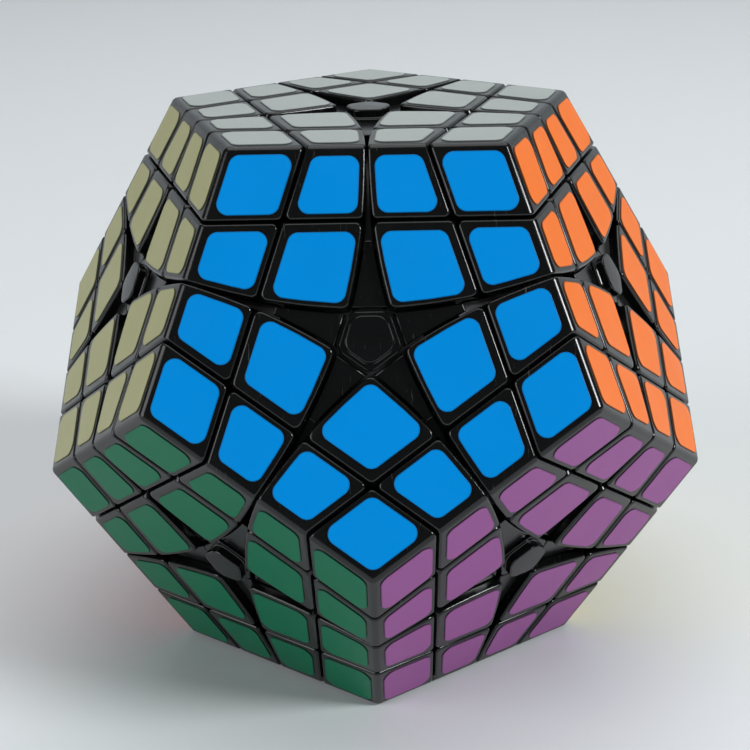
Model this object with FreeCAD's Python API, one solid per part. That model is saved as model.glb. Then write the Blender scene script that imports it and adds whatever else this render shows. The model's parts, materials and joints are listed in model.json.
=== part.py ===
import FreeCAD, Part
import math
import os

os.makedirs("parts", exist_ok=True)

# Driving dimensions, in millimetres and degrees.
across_faces = 96.0          # sticker face to opposite sticker face
sticker_thickness = 0.15
edge_round = 1.3             # radius along the 30 edges of the body
rim_round = 0.45             # radius round the top of every piece
gap = 0.3                    # between neighbouring pieces, wall to wall

# Outer layer of a face: its flat cut and the foot shells below it.
layer_cut = 37.3             # height of the flat cut over the centre of the puzzle
inner_radius = 37.5          # hollow in the middle
step_radius = 42.5           # where the narrow foot shell ends
foot_radius = 48.6           # where the wide foot shell ends
narrow_foot_angle = 30.0
wide_foot_angle = 45.0

# Two-layer block of a face: a cone from the centre of the puzzle, with a groove.
block_angle = 58.2825        # touches the cone of every face that is not a neighbour
block_foot_angle = 57.5
groove_angle = 53.0
groove_inner_radius = 41.5
groove_outer_radius = 45.0

# Plan corners of the pieces, and of the stickers on them.
corner_plan_round = 0.9
wing_plan_round = 0.8
kite_plan_round = 1.1
sticker_margin = 1.1         # from a wall of the piece to the sticker
corner_sticker_edge = 1.2    # from the sharp edge of the body to the sticker of a corner
wing_sticker_edge = 1.6      # the same for a wing
kite_sticker_outside = 1.35  # from the outer walls of a kite to its sticker
kite_sticker_inside = 0.85   # from its walls along the arms
sticker_plan_round = 1.3
kite_sticker_plan_round = 1.2

# Arm pieces in the star-shaped gap.
arm_recess = 1.6             # top of an arm below the face
arm_inner_end = 4.9          # from the middle of the face
arm_well_depth = 3.0         # how far down the end wall of an arm goes
arm_rim_round = 0.25

# Hub, cap, screw, spring and washer, as heights over the centre of the puzzle.
hub_top = 44.8
hub_blank_radius = 12.0
hub_floor_top = 39.2
hub_bore_radius = 2.9
hub_hole_radius = 1.7
cap_neck_inradius = 3.2
cap_flange_inradius = 4.25
cap_top_inradius = 3.45
cap_neck_top = 45.7
cap_flange_top = 46.5
cap_top = 47.95
cap_neck_round = 0.9
cap_flange_round = 1.5
cap_top_round = 2.1
cap_edge_round = 0.3
cap_plug_radius = 2.75
cap_plug_bottom = 44.1
spring_bottom = 39.3
spring_top = 42.2
spring_radius = 2.1
spring_wire = 0.5            # side of its square wire
spring_turns = 4.0
washer_bottom = 42.25
washer_top = 42.75
washer_radius = 2.6
screw_head_top = 44.0
screw_head_radius = 2.45
screw_head_round = 0.4
slot_length = 3.0
slot_width = 0.6
slot_depth = 0.7
screw_shank_radius = 1.2
screw_tip = 27.0
running_gap = 0.05

# Core.
core_ball_radius = 13.0
post_radius = 3.6
post_end = 37.1

upper_elevation = math.degrees(math.atan(0.5))
neighbour_angle = math.degrees(math.acos(1.0 / math.sqrt(5.0)))
face_height = across_faces / 2.0 - sticker_thickness
face_inradius = face_height * math.tan(math.radians(neighbour_angle / 2.0))
clearance = gap / 2.0
outer_skin = edge_round / 3.0    # the rounded edges of the body lie no deeper than this
wall_reach = 1.5                 # a wall between pieces goes at least this deep
outside = 75.0
centre = FreeCAD.Vector(0, 0, 0)
up = FreeCAD.Vector(0, 0, 1)


def direction(azimuth, elevation):
    """Unit vector from an azimuth about +Z and an elevation over the horizontal."""
    flat = math.cos(math.radians(elevation))
    x = flat * math.cos(math.radians(azimuth))
    y = flat * math.sin(math.radians(azimuth))
    return FreeCAD.Vector(x, y, math.sin(math.radians(elevation)))


# The twelve faces, by the colour of their stickers.
faces = {"grey": up, "white": -up}
upper_names = ["light_blue", "orange", "lime", "pink", "cream"]
opposite_names = ["dark_blue", "red", "green", "purple", "yellow"]
for number, (name, opposite) in enumerate(zip(upper_names, opposite_names)):
    faces[name] = direction(-90.0 + 72.0 * number, upper_elevation)
    faces[opposite] = -faces[name]

# The faces whose layers turn: each has an outer layer and a second layer below it.
turning = {"front": "light_blue", "rear": "lime", "base": "white"}


def name_of(axis):
    """The face whose axis points this way."""
    return max(faces, key=lambda name: faces[name].dot(axis))


def neighbours(axis):
    """The five face axes next to this one."""
    limit = math.cos(math.radians(neighbour_angle))
    return [other for other in faces.values() if abs(other.dot(axis) - limit) < 0.01]


def frame_of(first, second):
    """Rotation whose Z is the first face and whose X leans to the second."""
    side = second - first * first.dot(second)
    side.normalize()
    return FreeCAD.Rotation(side, first.cross(side), first, "ZXY")


# The 60 turns that carry the body onto itself, one for each ordered pair of neighbouring faces.
home_frame = frame_of(up, faces["light_blue"])
turns = []
for first in faces.values():
    for second in neighbours(first):
        turns.append(frame_of(first, second).multiply(home_frame.inverted()))


def point(radius, angle):
    """Point of a meridian profile, with the angle counted from the axis."""
    return FreeCAD.Vector(radius * math.sin(math.radians(angle)), 0, radius * math.cos(math.radians(angle)))


def arc(radius, first, last):
    """Arc of a meridian profile about the centre of the puzzle."""
    middle = (first + last) / 2.0
    return Part.Arc(point(radius, first), point(radius, middle), point(radius, last)).toShape()


def line(first, last):
    return Part.LineSegment(first, last).toShape()


def revolve(edges, axis):
    """Solid of revolution about a face axis from meridian edges, its seam on the far side of the first pieces."""
    away = faces["white"] + faces["dark_blue"]
    solid = Part.Face(Part.Wire(edges)).revolve(centre, up, 360)
    return solid.transformed(FreeCAD.Placement(centre, frame_of(axis, away)).toMatrix(), True)


def narrowed(angle, radius, shrink):
    """The angle of a cone moved in by a distance at a radius."""
    return angle - math.degrees(shrink / radius)


def layer(axis, shrink):
    """Everything that turns with the outer layer of a face, pulled in by shrink all round."""
    cut = layer_cut + shrink
    bottom = inner_radius + shrink
    step = step_radius + shrink
    top = foot_radius - shrink
    narrow = narrowed(narrow_foot_angle, step_radius, shrink)
    wide = narrowed(wide_foot_angle, foot_radius, shrink)
    rim = math.degrees(math.acos(cut / top))
    edges = [
        arc(bottom, 0, narrow),
        line(point(bottom, narrow), point(step, narrow)),
        arc(step, narrow, wide),
        line(point(step, wide), point(top, wide)),
        arc(top, wide, rim),
        line(point(top, rim), FreeCAD.Vector(outside, 0, cut)),
        line(FreeCAD.Vector(outside, 0, cut), FreeCAD.Vector(outside, 0, outside)),
        line(FreeCAD.Vector(outside, 0, outside), FreeCAD.Vector(0, 0, outside)),
        line(FreeCAD.Vector(0, 0, outside), point(bottom, 0)),
    ]
    return revolve(edges, axis)


def block(axis, shrink):
    """Everything that turns with the two-layer block of a face, pulled in by shrink all round."""
    low = groove_inner_radius - shrink
    high = groove_outer_radius + shrink
    foot = narrowed(block_foot_angle, groove_inner_radius, shrink)
    groove = narrowed(groove_angle, groove_outer_radius, shrink)
    wall = narrowed(block_angle, face_height, shrink)
    edges = [
        line(centre, point(low, foot)),
        arc(low, foot, groove),
        line(point(low, groove), point(high, groove)),
        arc(high, groove, wall),
        line(point(high, wall), point(2 * outside, wall)),
        line(point(2 * outside, wall), point(2 * outside * math.cos(math.radians(wall)), 0)),
        line(point(2 * outside * math.cos(math.radians(wall)), 0), centre),
    ]
    return revolve(edges, axis)


def below(axis, height):
    """Everything under a plane across a face axis."""
    slab = Part.makeBox(2 * outside, 2 * outside, outside + height, FreeCAD.Vector(-outside, -outside, -outside))
    return slab.transformed(FreeCAD.Placement(centre, FreeCAD.Rotation(up, axis)).toMatrix(), True)


def above(axis, height):
    """Everything over a plane across a face axis."""
    slab = Part.makeBox(2 * outside, 2 * outside, outside, FreeCAD.Vector(-outside, -outside, height))
    return slab.transformed(FreeCAD.Placement(centre, FreeCAD.Rotation(up, axis)).toMatrix(), True)


def pentagon(inradius, bottom, top):
    """Five-sided prism on the top face, its flats facing the edges."""
    radius = inradius / math.cos(math.radians(36.0))
    corners = []
    for number in range(5):
        turn = math.radians(72.0 * number - 54.0)
        corners.append(FreeCAD.Vector(radius * math.cos(turn), radius * math.sin(turn), bottom))
    face = Part.Face(Part.makePolygon(corners + corners[:1]))
    return face.extrude(FreeCAD.Vector(0, 0, top - bottom))


def upright_edges(solid):
    """The straight edges that run along +Z."""
    return [edge for edge in solid.Edges if edge.BoundBox.ZLength > 0.99 * edge.Length]


def edges_at(solid, height):
    """The edges that lie in a level plane."""
    return [edge for edge in solid.Edges if max(abs(vertex.Z - height) for vertex in edge.Vertexes) < 0.001]


def cylinder(radius, bottom, top):
    return Part.makeCylinder(radius, top - bottom, FreeCAD.Vector(0, 0, bottom))


def depth(place):
    """Depth of a point under the nearest face plane."""
    return face_height - max(place.dot(axis) for axis in faces.values())


def is_outer(face):
    """Whether a face belongs to the outside of the body and not to a wall between pieces."""
    low_u, high_u, low_v, high_v = face.ParameterRange
    return depth(face.valueAt((low_u + high_u) / 2.0, (low_v + high_v) / 2.0)) < outer_skin


def plan_rounded(solid, radius):
    """The solid with the corners of its plan rounded, from the outside down to its foot."""
    edges = []
    for edge in solid.Edges:
        ends = sorted(depth(vertex.Point) for vertex in edge.Vertexes)
        sides = solid.ancestorsOfType(edge, Part.Face)
        if len(ends) == 2 and ends[0] < outer_skin < wall_reach < ends[1] and not any(map(is_outer, sides)):
            edges.append(edge)
    return solid.makeFillet(radius, edges)


def rim_rounded(solid, radius):
    """The solid with the rim between its outside and its walls rounded."""
    edges = []
    for edge in solid.Edges:
        sides = solid.ancestorsOfType(edge, Part.Face)
        if not edge.Degenerated and len(sides) == 2 and is_outer(sides[0]) != is_outer(sides[1]):
            edges.append(edge)
    return solid.makeFillet(radius, edges)


# The first piece of every kind lies between the top face and the light blue one, where the orange
# face is their common neighbour to the right and the cream face the one to the left.
first_face = up
second_face = faces["light_blue"]
right_face = faces["orange"]
left_face = faces["cream"]


def body_solid():
    """The dodecahedron with its edges rounded, without stickers."""
    solid = below(first_face, face_height)
    for axis in faces.values():
        solid = solid.common(below(axis, face_height))
    return solid.makeFillet(edge_round, solid.Edges)


body = body_solid()


def corner_piece():
    """Three-sided piece at a corner of the body: its head between flat cuts, and its foot."""
    head = body
    foot = Part.makeSphere(foot_radius - clearance)
    for axis in (first_face, second_face, right_face):
        head = head.common(above(axis, layer_cut + clearance))
        foot = foot.common(layer(axis, clearance))
    head = rim_rounded(plan_rounded(head.Solids[0], corner_plan_round).Solids[0], rim_round)
    return head.fuse(foot)


def wing_piece():
    """Two-sided piece on an edge of the body, between a corner and the middle of the edge."""
    solid = body.common(layer(first_face, clearance)).common(layer(second_face, clearance))
    solid = solid.common(block(right_face, clearance)).cut(layer(right_face, -clearance))
    return rim_rounded(plan_rounded(solid.Solids[0], wing_plan_round).Solids[0], rim_round)


def kite_piece():
    """One-sided kite between a corner of a face and its middle."""
    solid = body.common(layer(first_face, clearance))
    for axis in (second_face, right_face):
        solid = solid.common(block(axis, clearance))
    for axis in (right_face, second_face):
        solid = solid.cut(layer(axis, -clearance))
    return rim_rounded(plan_rounded(solid.Solids[0], kite_plan_round).Solids[0], rim_round)


def arm_piece():
    """Low piece without a sticker, in an arm of the star-shaped gap of a face."""
    top = face_height - arm_recess
    solid = body.common(below(first_face, top)).common(layer(first_face, clearance))
    solid = solid.common(block(second_face, clearance)).cut(layer(second_face, -clearance))
    for axis in (right_face, left_face):
        solid = solid.cut(block(axis, -clearance))
    solid = solid.cut(pentagon(arm_inner_end, face_height - arm_well_depth, outside)).Solids[0]
    return solid.makeFillet(arm_rim_round, edges_at(solid, top))


def middle_piece():
    """Hidden piece under the middle of an edge, whose tongue holds the feet of the two wings."""
    solid = layer(first_face, clearance).common(layer(second_face, clearance))
    solid = solid.common(Part.makeSphere(groove_outer_radius - clearance))
    for axis in (right_face, left_face):
        solid = solid.cut(block(axis, -clearance))
    return solid


def hub_piece():
    """Hub under the cap: it holds the feet round it, and has a bore for the screw and its spring."""
    solid = layer(first_face, clearance).common(cylinder(hub_blank_radius, 0, hub_top))
    for axis in neighbours(first_face):
        solid = solid.cut(block(axis, -clearance))
    solid = solid.cut(cylinder(hub_bore_radius, hub_floor_top, outside))
    return solid.cut(cylinder(hub_hole_radius, 0, outside))


def cap_piece():
    """Mushroom-shaped cap: a plug, a neck, a five-sided flange and a rounder raised top."""
    plug = cylinder(cap_plug_radius, cap_plug_bottom, hub_top + clearance)
    neck = pentagon(cap_neck_inradius, hub_top + running_gap, cap_neck_top + clearance)
    neck = neck.makeFillet(cap_neck_round, upright_edges(neck))
    flange = pentagon(cap_flange_inradius, cap_neck_top, cap_flange_top)
    flange = flange.makeFillet(cap_flange_round, upright_edges(flange))
    flange = flange.makeFillet(cap_edge_round, edges_at(flange, cap_flange_top))
    raised = pentagon(cap_top_inradius, cap_flange_top - clearance, cap_top)
    raised = raised.makeFillet(cap_top_round, upright_edges(raised))
    raised = raised.makeFillet(cap_edge_round, edges_at(raised, cap_top))
    return plug.fuse([neck, flange, raised])


def screw():
    """Pan-head screw from the washer down into the post of the core."""
    head = cylinder(screw_head_radius, washer_top + running_gap, screw_head_top)
    head = head.makeFillet(screw_head_round, edges_at(head, screw_head_top))
    head = head.cut(cross_slot())
    return head.fuse(cylinder(screw_shank_radius, screw_tip, washer_top + clearance))


def cross_slot():
    """The two crossed slots for a screwdriver."""
    height = screw_head_top - slot_depth
    bars = []
    for length, width in ((slot_length, slot_width), (slot_width, slot_length)):
        start = FreeCAD.Vector(-length / 2.0, -width / 2.0, height)
        bars.append(Part.makeBox(length, width, outside, start))
    return bars[0].fuse(bars[1])


def washer():
    ring = cylinder(washer_radius, washer_bottom, washer_top)
    return ring.cut(cylinder(screw_shank_radius + 2 * running_gap, 0, outside))


def spring():
    """Compression spring between the hub's floor and the washer."""
    height = spring_top - spring_bottom - spring_wire
    path = Part.Wire(Part.makeHelix(height / spring_turns, height, spring_radius).Edges)
    path.translate(FreeCAD.Vector(0, 0, spring_bottom + spring_wire / 2))
    corners = []
    for out, up in ((0, 0), (1, 0), (1, 1), (0, 1), (0, 0)):
        radius = spring_radius + (out - 0.5) * spring_wire
        corners.append(FreeCAD.Vector(radius, 0, spring_bottom + up * spring_wire))
    return path.makePipeShell([Part.makePolygon(corners)], True, True)


def sticker(inner, edge_margin, plan_round):
    """Sticker on the top face: the slab over it, inside every solid that bounds it."""
    slab = pentagon(face_inradius - edge_margin, face_height, face_height + sticker_thickness)
    for solid in inner:
        slab = slab.common(solid)
    outline = [face for face in slab.Faces if max(abs(vertex.Z - face_height) for vertex in face.Vertexes) < 0.001]
    solid = outline[0].extrude(FreeCAD.Vector(0, 0, sticker_thickness))
    return solid.makeFillet(plan_round, upright_edges(solid))


def corner_sticker():
    cuts = [above(axis, layer_cut + sticker_margin) for axis in (second_face, right_face)]
    return sticker(cuts, corner_sticker_edge, sticker_plan_round)


def wing_sticker(near_face):
    """Sticker of the wing near a face, on the top face."""
    cuts = [above(second_face, layer_cut + sticker_margin), below(near_face, layer_cut - sticker_margin),
            block(near_face, sticker_margin)]
    return sticker(cuts, wing_sticker_edge, sticker_plan_round)


def kite_sticker():
    cuts = [block(axis, kite_sticker_inside) for axis in (second_face, right_face)]
    cuts += [below(axis, layer_cut - kite_sticker_outside) for axis in (second_face, right_face)]
    return sticker(cuts, 0, kite_sticker_plan_round)


def core():
    """Ball with twelve posts, each with a hole for its screw."""
    ball = Part.makeSphere(core_ball_radius)
    posts = []
    holes = []
    for axis in faces.values():
        posts.append(Part.makeCylinder(post_radius, post_end, centre, axis))
        bottom = axis * (screw_tip - screw_shank_radius)
        holes.append(Part.makeCylinder(screw_shank_radius + running_gap, outside, bottom, axis))
    return ball.fuse(posts).cut(holes)


def body_name(in_layer, in_block):
    """The moving body of a piece, from the faces whose outer layer or two-layer block it belongs to."""
    for part, face in turning.items():
        if face in in_layer:
            return part + "_outer_layer"
        if face in in_block:
            return part + "_inner_layer"
    return "core_frame"


def sticker_node(face, moving):
    """Stickers of the core's body are one node for each colour; a layer has its own face and the rest."""
    if moving == "core_frame":
        return "frame_" + face + "_stickers"
    part = moving.split("_")[0]
    if moving == part + "_outer_layer" and turning[part] == face:
        return part + "_face_stickers"
    return moving.replace("_layer", "_side_stickers")


# Every kind of piece: its first solid, the faces whose outer layer it is in, and those whose block it is in,
# as numbers of the list of first, second, right and left face.
kinds = {
    "corners": (corner_piece(), (0, 1, 2), (0, 1, 2)),
    "wings": (wing_piece(), (0, 1), (0, 1, 2)),
    "kites": (kite_piece(), (0,), (0, 1, 2)),
    "arms": (arm_piece(), (0,), (0, 1)),
    "middles": (middle_piece(), (0, 1), (0, 1)),
    "hubs": (hub_piece(), (0,), (0,)),
    "caps": (cap_piece(), (0,), (0,)),
}
sticker_kinds = {
    "corner": (corner_sticker(), (0, 1, 2), (0, 1, 2)),
    "right_wing": (wing_sticker(right_face), (0, 1), (0, 1, 2)),
    "left_wing": (wing_sticker(left_face), (0, 1), (0, 1, 3)),
    "kite": (kite_sticker(), (0,), (0, 1, 2)),
}
fasteners = {"screws": screw(), "springs": spring(), "washers": washer()}
home = (first_face, second_face, right_face, left_face)
nodes = {"core": [core()]}


def place(name, solid, turn):
    """Adds a turned copy of a solid to a node."""
    copy = solid.transformed(FreeCAD.Placement(centre, turn).toMatrix(), True)
    nodes.setdefault(name, []).append(copy)


used = set()
for turn in turns:
    names = [name_of(turn.multVec(axis)) for axis in home]
    for kind, (solid, in_layer, in_block) in kinds.items():
        layers = frozenset(names[number] for number in in_layer)
        blocks = frozenset(names[number] for number in in_block)
        key = (kind, layers, blocks) if kind != "kites" else (kind, layers, blocks, names[0])
        if key not in used:
            used.add(key)
            moving = body_name(layers, blocks)
            place(moving.replace("core_frame", "frame").replace("_layer", "") + "_" + kind, solid, turn)
    for solid, in_layer, in_block in sticker_kinds.values():
        moving = body_name([names[number] for number in in_layer], [names[number] for number in in_block])
        place(sticker_node(names[0], moving), solid, turn)
    if (names[0],) not in used:
        used.add((names[0],))
        for kind, solid in fasteners.items():
            place(kind, solid, turn)

for name, solids in nodes.items():
    shape = solids[0] if len(solids) == 1 else Part.makeCompound(solids)
    shape.exportStep("parts/" + name + ".step")
    print(name, len(solids), round(shape.Volume))
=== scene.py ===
# A twelve-sided twisty puzzle: black mouldings, vinyl stickers and small centre caps round a sprung core.
import json
import math

import bmesh
import bpy
import numpy as np
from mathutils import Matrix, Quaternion, Vector


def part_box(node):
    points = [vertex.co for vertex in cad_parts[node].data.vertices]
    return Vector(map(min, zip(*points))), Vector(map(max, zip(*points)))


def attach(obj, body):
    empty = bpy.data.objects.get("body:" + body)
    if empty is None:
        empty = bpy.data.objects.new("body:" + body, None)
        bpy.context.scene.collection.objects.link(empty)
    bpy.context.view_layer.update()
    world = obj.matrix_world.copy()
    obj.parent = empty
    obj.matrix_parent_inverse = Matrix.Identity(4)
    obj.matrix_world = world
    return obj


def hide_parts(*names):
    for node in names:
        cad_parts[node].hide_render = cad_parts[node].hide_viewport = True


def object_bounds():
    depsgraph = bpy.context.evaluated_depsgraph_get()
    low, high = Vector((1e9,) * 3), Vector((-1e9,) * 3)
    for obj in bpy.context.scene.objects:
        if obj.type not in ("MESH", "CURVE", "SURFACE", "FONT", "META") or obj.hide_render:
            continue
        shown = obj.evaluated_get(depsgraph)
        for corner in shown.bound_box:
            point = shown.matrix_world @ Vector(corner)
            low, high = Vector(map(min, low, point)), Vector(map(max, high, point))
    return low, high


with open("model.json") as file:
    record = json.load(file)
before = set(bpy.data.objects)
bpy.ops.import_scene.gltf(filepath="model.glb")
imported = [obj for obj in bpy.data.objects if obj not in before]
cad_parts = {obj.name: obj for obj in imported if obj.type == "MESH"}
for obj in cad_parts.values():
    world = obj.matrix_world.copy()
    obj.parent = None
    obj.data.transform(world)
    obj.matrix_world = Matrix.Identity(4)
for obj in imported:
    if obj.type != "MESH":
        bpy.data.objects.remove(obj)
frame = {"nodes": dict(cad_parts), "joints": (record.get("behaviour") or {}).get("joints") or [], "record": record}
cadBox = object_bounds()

# What the whole puzzle is measured by, in metres and degrees.
puzzle = {
    "layerCut": 0.0373,        # height of a layer's flat cut over the middle of the puzzle
    "blockAngle": 58.2825,     # half-angle of a two-layer block's conical cut
    "stickerThickness": 0.00015,
    "upperTilt": math.degrees(math.atan(0.5)),  # how far the upper and lower faces lean
    "step": 72.0,              # from one neighbour of a face to the next, round the face
}
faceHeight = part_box("frame_grey_stickers")[1].z - puzzle["stickerThickness"]
tilt = 1.0 / math.sqrt(5.0)    # cosine of the angle between two neighbouring faces


def faceAxis(azimuth, elevation):
    # unit vector from azimuth about +Z and elevation over the horizon
    a, e = math.radians(azimuth), math.radians(elevation)
    return np.array([math.cos(e) * math.cos(a), math.cos(e) * math.sin(a), math.sin(e)])


faceAxes = {"grey": faceAxis(0, 90), "white": faceAxis(0, -90)}
ringPairs = [("light_blue", "dark_blue"), ("orange", "red"), ("lime", "green"), ("pink", "purple"),
             ("cream", "yellow")]
for step, (upper, lower) in enumerate(ringPairs):
    faceAxes[upper] = faceAxis(-90.0 + puzzle["step"] * step, puzzle["upperTilt"])
    faceAxes[lower] = -faceAxes[upper]


def neighboursOf(name):
    # the five faces round a face, counter-clockwise, each as a name
    axis = faceAxes[name]
    ring = [other for other in faceAxes if abs(faceAxes[other] @ axis - tilt) < 0.01]
    first, second = planeFrame(name, ring[0])[:2]
    return sorted(ring, key=lambda other: math.atan2(faceAxes[other] @ second, faceAxes[other] @ first))


def planeFrame(name, towards):
    # three unit vectors: across the face to a neighbour, along the edge, and out of the face
    out = faceAxes[name]
    across = faceAxes[towards] - out * (faceAxes[towards] @ out)
    across /= np.linalg.norm(across)
    return across, np.cross(out, across), out


def newPiece(name, points, faces):
    # a mesh object at the origin, with its place in its vertices
    mesh = bpy.data.meshes.new(name)
    mesh.from_pydata(points, [], faces)
    mesh.validate()
    piece = bpy.data.objects.new(name, mesh)
    bpy.context.scene.collection.objects.link(piece)
    return piece


def ringFaces(rings, around, start):
    # quads between closed rings of points, then one flat face on the first and one on the last ring
    ring, spot = np.meshgrid(np.arange(rings - 1), np.arange(around), indexing="ij")
    after = (spot + 1) % around
    quads = np.stack([ring * around + spot, ring * around + after,
                      (ring + 1) * around + after, (ring + 1) * around + spot], axis=-1).reshape(-1, 4)
    first = start + np.arange(around)[::-1]
    last = start + (rings - 1) * around + np.arange(around)
    return (quads + start).tolist() + [first.tolist(), last.tolist()]


def farthestCorners(corners, ways):
    # for each way round, the corner that lies farthest that way, and the way as a unit vector
    turn = np.linspace(0.0, 2.0 * np.pi, ways, endpoint=False)
    normals = np.stack([np.cos(turn), np.sin(turn)], axis=1)
    return corners[np.argmax(corners @ normals.T, axis=0)], normals


sticker = {
    "points": 96,              # round one sticker
    "cornerRounding": 0.0018,  # corner radius on the corner pieces, in metres
    "rounding": 0.0017,        # and on the wings and kites
    "cornerEdge": 0.0012,      # margin to the edge of the face on a corner piece
    "wingEdge": 0.0016,        # and on a wing
    "cut": 0.0011,             # margin of corners and wings to the cuts between layers
    "kiteOutside": 0.00135,    # margin of a kite towards the wings
    "kiteInside": 0.00085,     # and towards the arms
}
# How the outline is searched for: the reach from the middle of the face, then the counts of points
# across it, of rays round the middle of the sticker and of halvings along each ray.
search = {"reach": 0.03, "across": 241, "rays": 1440, "halvings": 40}


def bothCuts(cut, margin):
    # the same kind of cut for the neighbours 0 and 1
    return (cut, 0, margin), (cut, 1, margin)


def wingCuts(side):
    # round a wing, whose second neighbour is the next one on the given side
    return (("edge", 0, sticker["wingEdge"]), ("over", 0, sticker["cut"]),
            ("under", side, sticker["cut"]), ("block", side, sticker["cut"]))


# For each kind of sticker its corner radius and the cuts round it: the kind of cut, the neighbour it
# belongs to and the margin left there. The neighbours are counted round the face: 0 is the one the piece
# leans to, 1 the next one counter-clockwise and -1 the next one clockwise.
stickerKinds = {
    "corner": (sticker["cornerRounding"],
               bothCuts("edge", sticker["cornerEdge"]) + bothCuts("over", sticker["cut"])),
    "rightWing": (sticker["rounding"], wingCuts(1)),
    "leftWing": (sticker["rounding"], wingCuts(-1)),
    "kite": (sticker["rounding"],
             bothCuts("block", sticker["kiteInside"]) + bothCuts("under", sticker["kiteOutside"])),
}
# The neighbours whose outer layer, and whose two-layer block, a piece is also part of.
layerNeighbours = {"corner": (0, 1), "rightWing": (0,), "leftWing": (0,), "kite": ()}
blockNeighbours = {"corner": (0, 1), "rightWing": (0, 1), "leftWing": (0, -1), "kite": (0, 1)}


def roomInside(kind, x, y):
    # distance on the face from points to the nearest cut round a sticker, positive inside it
    lean = math.sqrt(1.0 - tilt * tilt)
    apothem = faceHeight * math.tan(math.acos(tilt) / 2.0)
    radius = np.sqrt(faceHeight ** 2 + x * x + y * y)
    rooms = []
    for cut, number, margin in stickerKinds[kind][1]:
        turn = math.radians(puzzle["step"] * number)
        across = x * math.cos(turn) + y * math.sin(turn)
        height = faceHeight * tilt + across * lean
        if cut == "edge":
            rooms.append(apothem - across - margin)
        elif cut == "over":
            rooms.append((height - puzzle["layerCut"] - margin) / lean)
        elif cut == "under":
            rooms.append((puzzle["layerCut"] - height - margin) / lean)
        else:
            angle = math.radians(puzzle["blockAngle"]) - np.arccos(height / radius)
            rooms.append(angle * radius - margin)
    return np.min(rooms, axis=0)


def stickerOutline(kind):
    # the sticker's outline pulled in by its corner radius, found along rays from its middle
    rounding = stickerKinds[kind][0]
    grid = np.linspace(-search["reach"], search["reach"], search["across"])
    gridX, gridY = np.meshgrid(grid, grid)
    inside = roomInside(kind, gridX, gridY) > rounding
    middle = np.array([gridX[inside].mean(), gridY[inside].mean()])
    turn = np.linspace(0.0, 2.0 * np.pi, search["rays"], endpoint=False)
    rays = np.stack([np.cos(turn), np.sin(turn)], axis=1)
    near, far = np.zeros(len(turn)), np.full(len(turn), search["reach"])
    for halving in range(search["halvings"]):
        half = (near + far) / 2.0
        spots = middle + rays * half[:, None]
        within = roomInside(kind, spots[:, 0], spots[:, 1]) > rounding
        near, far = np.where(within, half, near), np.where(within, far, half)
    return farthestCorners(middle + rays * near[:, None], sticker["points"])


# How far in from its outline and how high over the face each ring of a sticker is, in metres.
stickerProfile = ((0.0, 0.0), (0.0, 0.00009), (0.00003, 0.00013), (0.00008, 0.00015), (0.00035, 0.00015),
                  (0.0009, 0.00015))


def stickerRings(kind):
    # the profile carried round the outline: rings of points on a face, with height as the third number
    corners, normals = stickerOutline(kind)
    rings = []
    for inset, height in stickerProfile:
        flat = corners + normals * (stickerKinds[kind][0] - inset)
        rings.append(np.column_stack([flat, np.full(len(flat), faceHeight + height)]))
    return np.array(rings)


def movingBody(layerNames, blockNames):
    # the body of a piece, from the faces whose outer layer or two-layer block it belongs to
    for joint in frame["joints"]:
        name = max(faceAxes, key=lambda face: float(faceAxes[face] @ np.array(joint["axis"])))
        outer = joint["child"].endswith("outer_layer")
        if name in layerNames and outer or name in blockNames and name not in layerNames and not outer:
            return joint["child"]
    return "core_frame"


def stickerNode(body, name):
    # the node whose stickers of one colour a piece stands for
    if body == "core_frame":
        return "frame_" + name + "_stickers"
    part = body.replace("_outer_layer", "").replace("_inner_layer", "")
    if body.endswith("_inner_layer"):
        return part + "_inner_side_stickers"
    return part + ("_face_stickers" if movingBody({name}, {name}) == body else "_outer_side_stickers")


def buildStickers():
    # one piece for each colour on each body: every sticker is a copy of its kind, turned onto its face
    shapes = {kind: stickerRings(kind) for kind in stickerKinds}
    groups = {}
    for name in faceAxes:
        around = neighboursOf(name)
        for number, towards in enumerate(around):
            turned = np.array(planeFrame(name, towards))
            for kind, rings in shapes.items():
                layers = {name} | {around[(number + k) % 5] for k in layerNeighbours[kind]}
                blocks = {name} | {around[(number + k) % 5] for k in blockNeighbours[kind]}
                groups.setdefault((movingBody(layers, blocks), name), []).append(rings @ turned)
    pieces = []
    for (body, name), stickers in groups.items():
        rings, around = stickers[0].shape[:2]
        faces = []
        for number in range(len(stickers)):
            faces += ringFaces(rings, around, number * rings * around)
        points = np.concatenate(stickers).reshape(-1, 3).tolist()
        piece = newPiece(body + "_" + name + "_stickers", points, faces)
        # each ring's inset from the outline, which the vinyl uses to place its painted shade along the edge
        border = np.tile(np.repeat([inset for inset, height in stickerProfile], around), len(stickers))
        piece.data.attributes.new("border", "FLOAT", "POINT").data.foreach_set("value", border)
        piece["colourName"] = name
        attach(piece, body)
        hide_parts(stickerNode(body, name))
        pieces.append(piece)
    return pieces


capShape = {
    "points": 100,             # round the cap
    "edge": 0.0003,            # radius of its top edges
    "steps": 5,                # along such an edge
    "dome": 0.00004,           # how much the raised top crowns
    "topShares": (0.75, 0.5, 0.25),  # sizes of the rings on the top, as shares of its edge
}
# Five-sided rings of the cap from the plug up: inradius, corner radius and height in metres, and whether
# the edge there is rounded over.
capProfile = (
    (0.00275, 0.00275, 0.0441, False), (0.00275, 0.00275, 0.04485, False), (0.0032, 0.0009, 0.04485, False),
    (0.0032, 0.0009, 0.0457, False), (0.00405, 0.0013, 0.0457, False), (0.00425, 0.0015, 0.0459, False),
    (0.00425, 0.0015, 0.0465, True), (0.0036, 0.00225, 0.0465, False), (0.00345, 0.0021, 0.04662, False),
    (0.00345, 0.0021, 0.04795, True),
)


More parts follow.
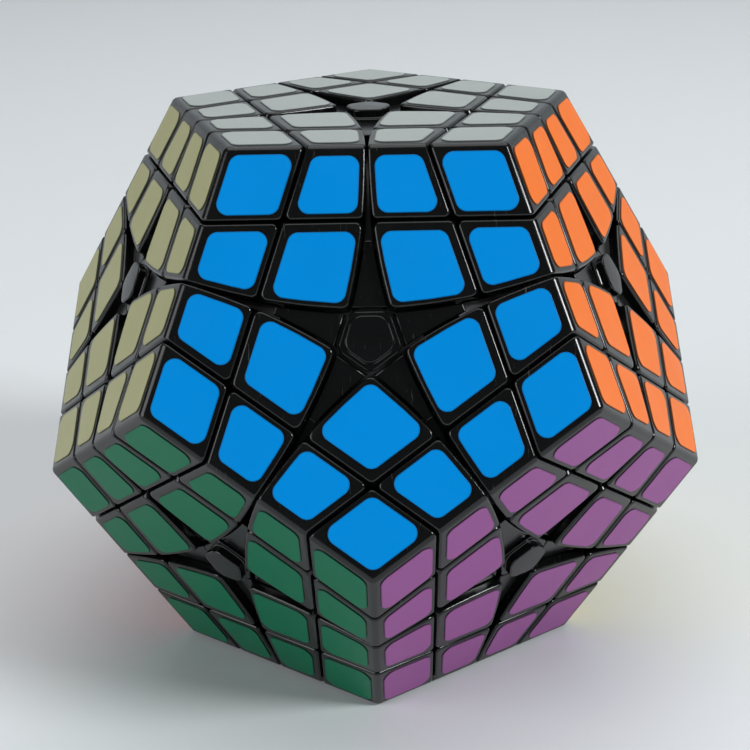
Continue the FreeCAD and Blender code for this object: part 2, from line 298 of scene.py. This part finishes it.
def capRing(inradius, rounding, height):
    # a five-sided ring with rounded corners, its flats facing the edges of the face
    turn = np.radians(puzzle["step"] * (np.arange(5) + 0.5))
    reach = (inradius - rounding) / math.cos(math.radians(puzzle["step"] / 2.0))
    corners = np.stack([np.cos(turn), np.sin(turn)], axis=1) * reach
    spots, normals = farthestCorners(corners, capShape["points"])
    flat = spots + normals * rounding
    return np.column_stack([flat, np.full(len(flat), height)])


def capRings():
    # all rings from the plug to the top, with the rounded edges and the crowned top drawn out
    rings = []
    for inradius, rounding, height, rounded in capProfile:
        if not rounded:
            rings.append(capRing(inradius, rounding, height))
            continue
        for angle in np.linspace(0.0, np.pi / 2.0, capShape["steps"]):
            inset = capShape["edge"] * (1.0 - math.cos(angle))
            drop = capShape["edge"] * (1.0 - math.sin(angle))
            rings.append(capRing(inradius - inset, rounding - inset, height - drop))
    top = capProfile[-1][2]
    for share in capShape["topShares"]:
        inradius = (capProfile[-1][0] - capShape["edge"]) * share
        crown = capShape["dome"] * (1.0 - share * share)
        rings.append(capRing(inradius, min(inradius, capProfile[-1][1]) * share ** 0.5, top + crown))
    return np.array(rings)


def buildCaps():
    # one piece for each body that has caps: the cap is copied onto each of the body's own faces
    rings = capRings()
    pieces = []
    for body, nodes in frame["record"]["behaviour"]["bodies"].items():
        caps = [node for node in nodes if node.endswith("_caps")]
        if not caps:
            continue
        own = [name for name in faceAxes if movingBody({name}, {name}) == body]
        points = []
        faces = []
        for number, name in enumerate(own):
            points.append(rings @ np.array(planeFrame(name, neighboursOf(name)[0])))
            faces += ringFaces(len(rings), rings.shape[1], number * len(rings) * rings.shape[1])
        piece = newPiece(body + "_caps", np.concatenate(points).reshape(-1, 3).tolist(), faces)
        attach(piece, body)
        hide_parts(*caps)
        pieces.append(piece)
    return pieces


moulding = {
    "kinds": ("_corners", "_wings", "_kites", "_arms"),
    "mergeDistance": 2e-6,
    "sharpAngle": 42.0,        # degrees; a fold past this stays a crisp line
    "flatWeight": 90,          # how strongly large flat faces hold their shading
}


def buildMouldings():
    # the black pieces: each node's loose triangles joined into smooth closed surfaces
    pieces = []
    for body, nodes in frame["record"]["behaviour"]["bodies"].items():
        for node in nodes:
            if not node.endswith(moulding["kinds"]):
                continue
            mesh = frame["nodes"][node].data.copy()
            mesh.materials.clear()
            joined = bmesh.new()
            joined.from_mesh(mesh)
            bmesh.ops.remove_doubles(joined, verts=joined.verts, dist=moulding["mergeDistance"])
            joined.to_mesh(mesh)
            joined.free()
            mesh.shade_smooth()
            mesh.set_sharp_from_angle(angle=math.radians(moulding["sharpAngle"]))
            piece = bpy.data.objects.new(node + "_moulding", mesh)
            bpy.context.scene.collection.objects.link(piece)
            weighted = piece.modifiers.new("flatFacesStayFlat", "WEIGHTED_NORMAL")
            weighted.keep_sharp = True
            weighted.weight = moulding["flatWeight"]
            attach(piece, body)
            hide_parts(node)
            pieces.append(piece)
    return pieces


def addNode(tree, kind, **values):
    # a node with its input sockets or its settings set by name
    node = tree.nodes.new(kind)
    for name, value in values.items():
        if hasattr(node, name):
            setattr(node, name, value)
        else:
            node.inputs[name.replace("_", " ")].default_value = value
    return node


def newGroup(name, inputs, outputs):
    # an empty shader node group with its sockets, given as names and socket types
    group = bpy.data.node_groups.new(name, "ShaderNodeTree")
    for socket, kind in inputs:
        group.interface.new_socket(socket, in_out="INPUT", socket_type=kind)
    for socket, kind in outputs:
        group.interface.new_socket(socket, in_out="OUTPUT", socket_type=kind)
    return group, group.nodes.new("NodeGroupInput"), group.nodes.new("NodeGroupOutput")


scratch = {
    "stretch": (9.0, 1.0, 1.0),    # how much finer the lines run one way than the others
    "turn": (0.4, 0.9, 0.7),       # which way they run, in radians
    "scale": 260.0,
    "from": 0.66,                  # noise values where a scratch starts and where it is full
    "to": 0.74,
    "depth": -0.6,                 # against the height of the grain
}


def scaleFrom(group, size):
    # a noise scale, which is one over a size in metres
    scale = addNode(group, "ShaderNodeMath", operation="DIVIDE")
    scale.inputs[0].default_value = 1.0
    group.links.new(size, scale.inputs[1])
    return scale.outputs[0]


def surfaceWearGroup():
    # roughness that wanders between two values, fine scratches, and a height for a Bump node
    group, given, made = newGroup(
        "surfaceWear",
        (("Vector", "NodeSocketVector"), ("Smooth", "NodeSocketFloat"), ("Rough", "NodeSocketFloat"),
         ("Patch Size", "NodeSocketFloat"), ("Grain Size", "NodeSocketFloat")),
        (("Roughness", "NodeSocketFloat"), ("Scratches", "NodeSocketFloat"), ("Height", "NodeSocketFloat")))
    patches = addNode(group, "ShaderNodeTexNoise", Detail=4.0, Roughness=0.6)
    grain = addNode(group, "ShaderNodeTexNoise", Detail=2.0, Roughness=0.5)
    spread = addNode(group, "ShaderNodeMapRange", From_Min=0.3, From_Max=0.7)
    stretch = addNode(group, "ShaderNodeMapping", Scale=scratch["stretch"], Rotation=scratch["turn"])
    lines = addNode(group, "ShaderNodeTexNoise", Scale=scratch["scale"], Detail=3.0, Roughness=0.7,
                    Distortion=0.6)
    thin = addNode(group, "ShaderNodeMapRange", From_Min=scratch["from"], From_Max=scratch["to"])
    total = addNode(group, "ShaderNodeMath", operation="MULTIPLY_ADD")
    total.inputs[1].default_value = scratch["depth"]
    links = group.links
    links.new(scaleFrom(group, given.outputs["Patch Size"]), patches.inputs["Scale"])
    links.new(scaleFrom(group, given.outputs["Grain Size"]), grain.inputs["Scale"])
    for textured in (patches, grain, stretch):
        links.new(given.outputs["Vector"], textured.inputs["Vector"])
    links.new(stretch.outputs["Vector"], lines.inputs["Vector"])
    links.new(lines.outputs["Fac"], thin.inputs["Value"])
    links.new(patches.outputs["Fac"], spread.inputs["Value"])
    links.new(given.outputs["Smooth"], spread.inputs["To Min"])
    links.new(given.outputs["Rough"], spread.inputs["To Max"])
    links.new(spread.outputs["Result"], made.inputs["Roughness"])
    links.new(thin.outputs["Result"], made.inputs["Scratches"])
    links.new(thin.outputs["Result"], total.inputs[0])
    links.new(grain.outputs["Fac"], total.inputs[2])
    links.new(total.outputs[0], made.inputs["Height"])
    return group


def opaque(colour):
    # red, green and blue with full alpha
    return tuple(colour) + (1.0,)


def newMaterial(name, wear, look):
    # a material whose Principled shader gets its roughness and bump from the wear group
    material = bpy.data.materials.new(name)
    material.use_nodes = True
    tree = material.node_tree
    shader = tree.nodes["Principled BSDF"]
    place = tree.nodes.new("ShaderNodeTexCoord")
    marks = addNode(tree, "ShaderNodeGroup", node_tree=wear)
    sockets = {"Smooth": "smooth", "Rough": "rough", "Patch Size": "patchSize", "Grain Size": "grainSize"}
    for socket, value in sockets.items():
        marks.inputs[socket].default_value = look[value]
    raised = addNode(tree, "ShaderNodeBump", Strength=look["bump"], Distance=look["bumpDistance"])
    tree.links.new(place.outputs["Object"], marks.inputs["Vector"])
    tree.links.new(marks.outputs["Roughness"], shader.inputs["Roughness"])
    tree.links.new(marks.outputs["Height"], raised.inputs["Height"])
    tree.links.new(raised.outputs["Normal"], shader.inputs["Normal"])
    return material, tree, shader, place, marks


# Half-gloss black moulded plastic: linear colours, roughness values, sizes in metres.
blackPlastic = {
    "colour": (0.0028, 0.003, 0.003),
    "dustColour": (0.045, 0.045, 0.043),
    "smooth": 0.12,
    "rough": 0.26,
    "specular": 0.46,
    "patchSize": 0.006,
    "grainSize": 0.0004,
    "bump": 0.12,
    "bumpDistance": 0.00002,
}


def shellMaterial(wear):
    # black, a little greyer where it is scuffed
    material, tree, shader, place, marks = newMaterial("shellPlastic", wear, blackPlastic)
    mix = addNode(tree, "ShaderNodeMix", data_type="RGBA")
    mix.inputs["A"].default_value = opaque(blackPlastic["colour"])
    mix.inputs["B"].default_value = opaque(blackPlastic["dustColour"])
    tree.links.new(marks.outputs["Scratches"], mix.inputs["Factor"])
    tree.links.new(mix.outputs["Result"], shader.inputs["Base Color"])
    shader.inputs["Specular IOR Level"].default_value = blackPlastic["specular"]
    return material


# Sticker colours as they are seen in daylight, red, green and blue from 0 to 255.
vinylColours = {
    "grey": (164, 171, 168), "white": (228, 228, 224),
    "light_blue": (0, 134, 212), "dark_blue": (18, 52, 140),
    "orange": (240, 116, 26), "red": (188, 20, 26),
    "lime": (138, 200, 38), "green": (0, 104, 72),
    "pink": (232, 134, 172), "purple": (150, 84, 146),
    "cream": (164, 163, 118), "yellow": (238, 205, 18),
}
vinyl = {
    "smooth": 0.28,
    "rough": 0.38,
    "specular": 0.14,
    "patchSize": 0.012,
    "grainSize": 0.0009,
    "bump": 0.03,
    "bumpDistance": 0.00001,
    "fade": 0.05,              # how far the colour drifts each way, as a share
    "fadeScale": 70.0,
    "rimWidth": 0.00022,       # width of the painted shade along the edge, in metres from the cut edge
    # how dark the painted shade at the cut edge makes the colour, as a share
    "rimDarkness": 0.35,
}


def daylightColour(name):
    # screen values to the scene's linear values
    share = np.array(vinylColours[name]) / 255.0
    linear = np.where(share <= 0.04045, share / 12.92, ((share + 0.055) / 1.055) ** 2.4)
    return [float(value) for value in linear]


def vinylMaterial(name, wear):
    # printed vinyl: an even colour that drifts a little, with painted shade darkening it along its cut edge
    material, tree, shader, place, marks = newMaterial("vinyl_" + name, wear, vinyl)
    colour = daylightColour(name)
    drift = addNode(tree, "ShaderNodeTexNoise", Scale=vinyl["fadeScale"], Detail=3.0)
    tree.links.new(place.outputs["Object"], drift.inputs["Vector"])
    faded = addNode(tree, "ShaderNodeMix", data_type="RGBA")
    faded.inputs["A"].default_value = opaque(value * (1.0 - vinyl["fade"]) for value in colour)
    faded.inputs["B"].default_value = opaque(min(1.0, value * (1.0 + vinyl["fade"])) for value in colour)
    tree.links.new(drift.outputs["Fac"], faded.inputs["Factor"])
    border = addNode(tree, "ShaderNodeAttribute", attribute_name="border")
    # painted shade: the colour is darkened in a narrow band at the cut edge, standing in for the shadow where the
    # sticker meets the plastic
    edgeShade = addNode(tree, "ShaderNodeMapRange", From_Max=vinyl["rimWidth"], To_Min=vinyl["rimDarkness"])
    tree.links.new(border.outputs["Fac"], edgeShade.inputs["Value"])
    edgeShaded = addNode(tree, "ShaderNodeMix", data_type="RGBA", blend_type="MULTIPLY")
    edgeShaded.inputs["Factor"].default_value = 1.0
    tree.links.new(faded.outputs["Result"], edgeShaded.inputs["A"])
    tree.links.new(edgeShade.outputs["Result"], edgeShaded.inputs["B"])
    tree.links.new(edgeShaded.outputs["Result"], shader.inputs["Base Color"])
    shader.inputs["Specular IOR Level"].default_value = vinyl["specular"]
    return material


# The hidden parts, by material slot: moulded core plastic and two kinds of steel.
innerWear = {"patchSize": 0.003, "grainSize": 0.0003, "bump": 0.15, "bumpDistance": 0.00002, "dulled": 0.7}
innerLooks = {
    "core_plastic": {"name": "corePlastic", "colour": (0.03, 0.03, 0.032), "metallic": 0.0,
                     "smooth": 0.4, "rough": 0.55},
    "zinc_steel": {"name": "zincSteel", "colour": (0.6, 0.61, 0.63), "metallic": 1.0,
                   "smooth": 0.22, "rough": 0.36},
    "spring_steel": {"name": "springSteel", "colour": (0.45, 0.45, 0.46), "metallic": 1.0,
                     "smooth": 0.2, "rough": 0.32},
}


def innerMaterial(look, wear):
    # an even colour that is duller along its scratches
    material, tree, shader, place, marks = newMaterial(look["name"], wear, {**innerWear, **look})
    mix = addNode(tree, "ShaderNodeMix", data_type="RGBA")
    mix.inputs["A"].default_value = opaque(look["colour"])
    mix.inputs["B"].default_value = opaque(value * innerWear["dulled"] for value in look["colour"])
    tree.links.new(marks.outputs["Scratches"], mix.inputs["Factor"])
    tree.links.new(mix.outputs["Result"], shader.inputs["Base Color"])
    shader.inputs["Metallic"].default_value = look["metallic"]
    return material


def dress(piece, material):
    # one material on every slot of a piece
    if not piece.material_slots:
        piece.data.materials.append(material)
    for held in piece.material_slots:
        held.link = "OBJECT"
        held.material = material


print("building the stickers")
stickers = buildStickers()
print("building the caps")
caps = buildCaps()
print("joining the mouldings")
mouldings = buildMouldings()

print("dressing the pieces")
wear = surfaceWearGroup()
shell = shellMaterial(wear)
for piece in mouldings + caps:
    dress(piece, shell)
vinyls = {name: vinylMaterial(name, wear) for name in faceAxes}
for piece in stickers:
    dress(piece, vinyls[piece["colourName"]])
innerFinishes = {slot: innerMaterial(look, wear) for slot, look in innerLooks.items()}
for entry in frame["record"]["subparts"]:
    if entry["material_slot"] in innerFinishes:
        dress(frame["nodes"][entry["node"]], innerFinishes[entry["material_slot"]])

print("setting the floor, lights and camera")
stage = {
    "width": 3.0,
    "front": -1.6,
    "bend": 0.9,               # where the floor starts to curve up
    "bendRadius": 0.5,
    "bendSteps": 24,
    "wallTop": 2.2,
    "floorColour": (0.74, 0.77, 0.78),
    "wallColour": (0.62, 0.67, 0.70),
    "blendHeight": 0.5,        # over the floor, where the floor's colour has become the wall's
    "roughness": 0.75,
    "specular": 0.2,
}


def buildStage():
    # floor, curve and wall in one sheet: a profile along y and z carried across x
    floorHeight = cadBox[0].z
    turn = np.linspace(-np.pi / 2.0, 0.0, stage["bendSteps"])
    y = np.concatenate([[stage["front"]], stage["bend"] + stage["bendRadius"] * np.cos(turn),
                        [stage["bend"] + stage["bendRadius"]]])
    z = np.concatenate([[0.0], stage["bendRadius"] * (1.0 + np.sin(turn)), [stage["wallTop"]]])
    left = np.column_stack([np.full(len(y), -stage["width"] / 2.0), y, z + floorHeight])
    right = left * np.array([-1.0, 1.0, 1.0])
    count = len(y)
    faces = [(k, count + k, count + k + 1, k + 1) for k in range(count - 1)]
    sheet = newPiece("backdrop", np.concatenate([left, right]).tolist(), faces)
    sheet.data.shade_smooth()
    material = bpy.data.materials.new("backdropPaint")
    material.use_nodes = True
    tree = material.node_tree
    shader = tree.nodes["Principled BSDF"]
    shader.inputs["Roughness"].default_value = stage["roughness"]
    shader.inputs["Specular IOR Level"].default_value = stage["specular"]
    place = tree.nodes.new("ShaderNodeTexCoord")
    split = tree.nodes.new("ShaderNodeSeparateXYZ")
    blend = addNode(tree, "ShaderNodeMapRange", From_Min=floorHeight,
                    From_Max=floorHeight + stage["blendHeight"])
    paint = addNode(tree, "ShaderNodeMix", data_type="RGBA")
    paint.inputs["A"].default_value = opaque(stage["floorColour"])
    paint.inputs["B"].default_value = opaque(stage["wallColour"])
    tree.links.new(place.outputs["Object"], split.inputs["Vector"])
    tree.links.new(split.outputs["Z"], blend.inputs["Value"])
    tree.links.new(blend.outputs["Result"], paint.inputs["Factor"])
    tree.links.new(paint.outputs["Result"], shader.inputs["Base Color"])
    dress(sheet, material)


# Soft lights: place, size in metres, power in watts and colour; all point at the puzzle.
softLights = {
    "windowRight": ((1.1, -0.6, 0.8), 0.45, 14.7, (0.96, 0.98, 1.0)),
    "fillLeft": ((-1.2, -0.75, 0.5), 1.2, 10.9, (0.97, 0.98, 1.0)),
    "ceiling": ((0.1, 0.3, 1.4), 1.8, 12.9, (1.0, 1.0, 1.0)),
}
# The even light from all round, and how bright the room itself looks past the edges of the floor.
room = {"colour": (0.86, 0.90, 0.94), "strength": 0.09, "seenStrength": 0.62}


def buildLights():
    # three round lights and the room round them
    for name, (place, size, power, colour) in softLights.items():
        lamp = bpy.data.lights.new(name, "AREA")
        lamp.shape = "DISK"
        lamp.size = size
        lamp.energy = power
        lamp.color = colour
        holder = bpy.data.objects.new(name, lamp)
        holder.location = place
        holder.rotation_euler = (-Vector(place)).to_track_quat("-Z", "Y").to_euler()
        bpy.context.scene.collection.objects.link(holder)
    world = bpy.data.worlds.new("room")
    world.use_nodes = True
    tree = world.node_tree
    air = tree.nodes["Background"]
    air.inputs["Color"].default_value = opaque(room["colour"])
    rays = tree.nodes.new("ShaderNodeLightPath")
    seen = addNode(tree, "ShaderNodeMapRange", To_Min=room["strength"], To_Max=room["seenStrength"])
    tree.links.new(rays.outputs["Is Camera Ray"], seen.inputs["Value"])
    tree.links.new(seen.outputs["Result"], air.inputs["Strength"])
    bpy.context.scene.world = world


view = {
    "place": (0.0032, -0.2557, 0.0990),
    "aim": (0.0002, -0.0005, -0.0012),
    "roll": 1.2,               # degrees the camera leans to the right
    "lens": 72.3,              # millimetres, and the width of the sensor
    "sensor": 36.0,
    "nearest": 0.01,           # metres from the camera where the picture starts
}


def buildCamera():
    # a plain camera that looks a little down at the front face
    lens = bpy.data.cameras.new("camera")
    lens.lens = view["lens"]
    lens.sensor_width = view["sensor"]
    lens.clip_start = view["nearest"]
    camera = bpy.data.objects.new("camera", lens)
    camera.location = view["place"]
    look = Vector(view["aim"]) - Vector(view["place"])
    camera.rotation_mode = "QUATERNION"
    roll = Quaternion((0.0, 0.0, -1.0), math.radians(view["roll"]))
    camera.rotation_quaternion = look.to_track_quat("-Z", "Y") @ roll
    bpy.context.scene.collection.objects.link(camera)
    bpy.context.scene.camera = camera


buildStage()
buildLights()
buildCamera()
bpy.context.scene.view_settings.view_transform = "Standard"
